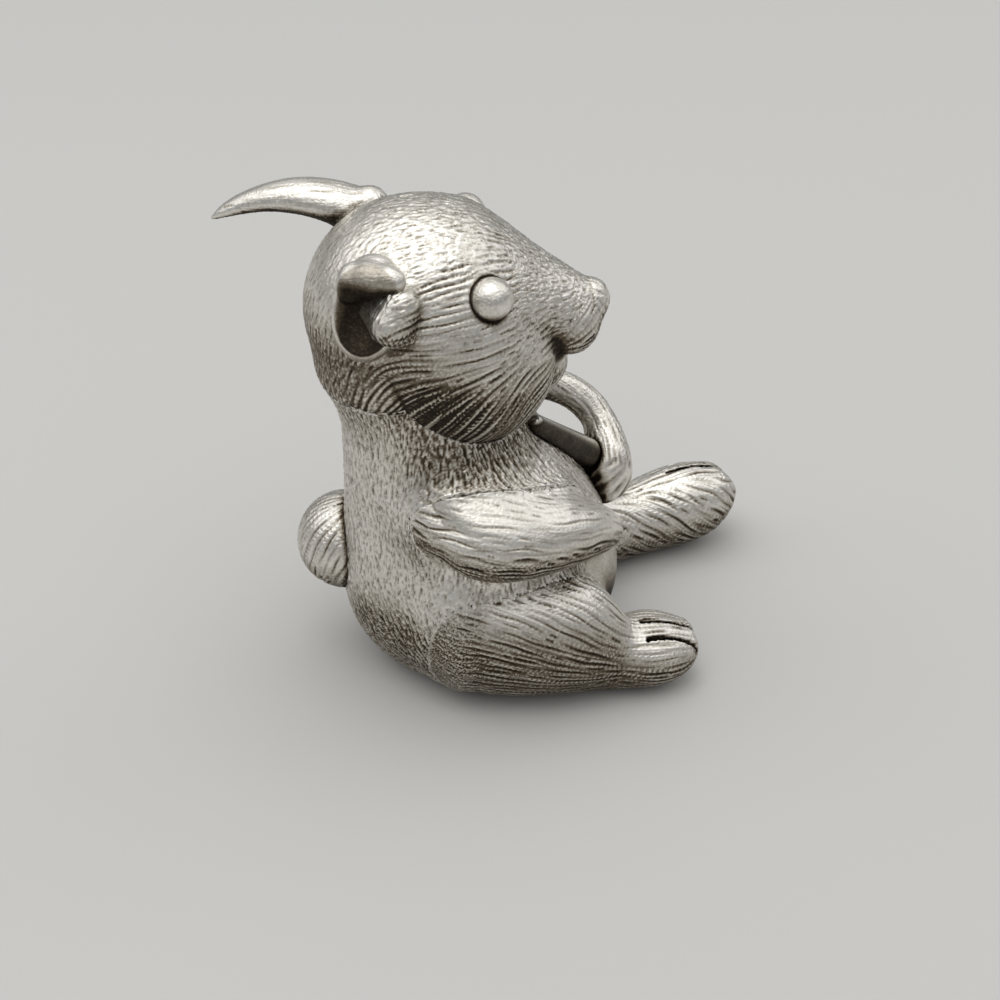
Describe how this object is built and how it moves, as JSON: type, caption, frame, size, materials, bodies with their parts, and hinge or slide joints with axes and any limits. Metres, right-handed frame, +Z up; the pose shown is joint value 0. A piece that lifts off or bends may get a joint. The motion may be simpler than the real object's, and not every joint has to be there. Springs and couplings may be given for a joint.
{
  "type": "pewter mouse figurine",
  "caption": "Small seated furry animal in cast pewter with a cupped ear, a long swept-back ear, a puff tail and a stick held to its chest; stands on a shelf as an ornament.",
  "frame": {"origin": "middle of the torso's flat seat, on the surface that the figurine sits on", "axes": "+X the way the animal faces, +Y to the animal's left, +Z up"},
  "size_m": [0.0328, 0.0204, 0.0308],
  "materials": {
    "pewter": "cast pewter with hand-cut fur lines, bright on the high places and tarnished brown-black in the cuts",
    "dark_pewter": "smooth cast pewter, tarnished dark"
  },
  "bodies": {
    "root": {"torso": "pewter", "head": "pewter", "left_ear": "pewter", "right_ear": "pewter", "left_eye": "pewter", "right_eye": "pewter", "left_arm": "pewter", "right_arm": "pewter", "left_leg": "pewter", "right_leg": "pewter", "tail": "pewter", "held_stick": "dark_pewter"}
  },
  "joints": []
}
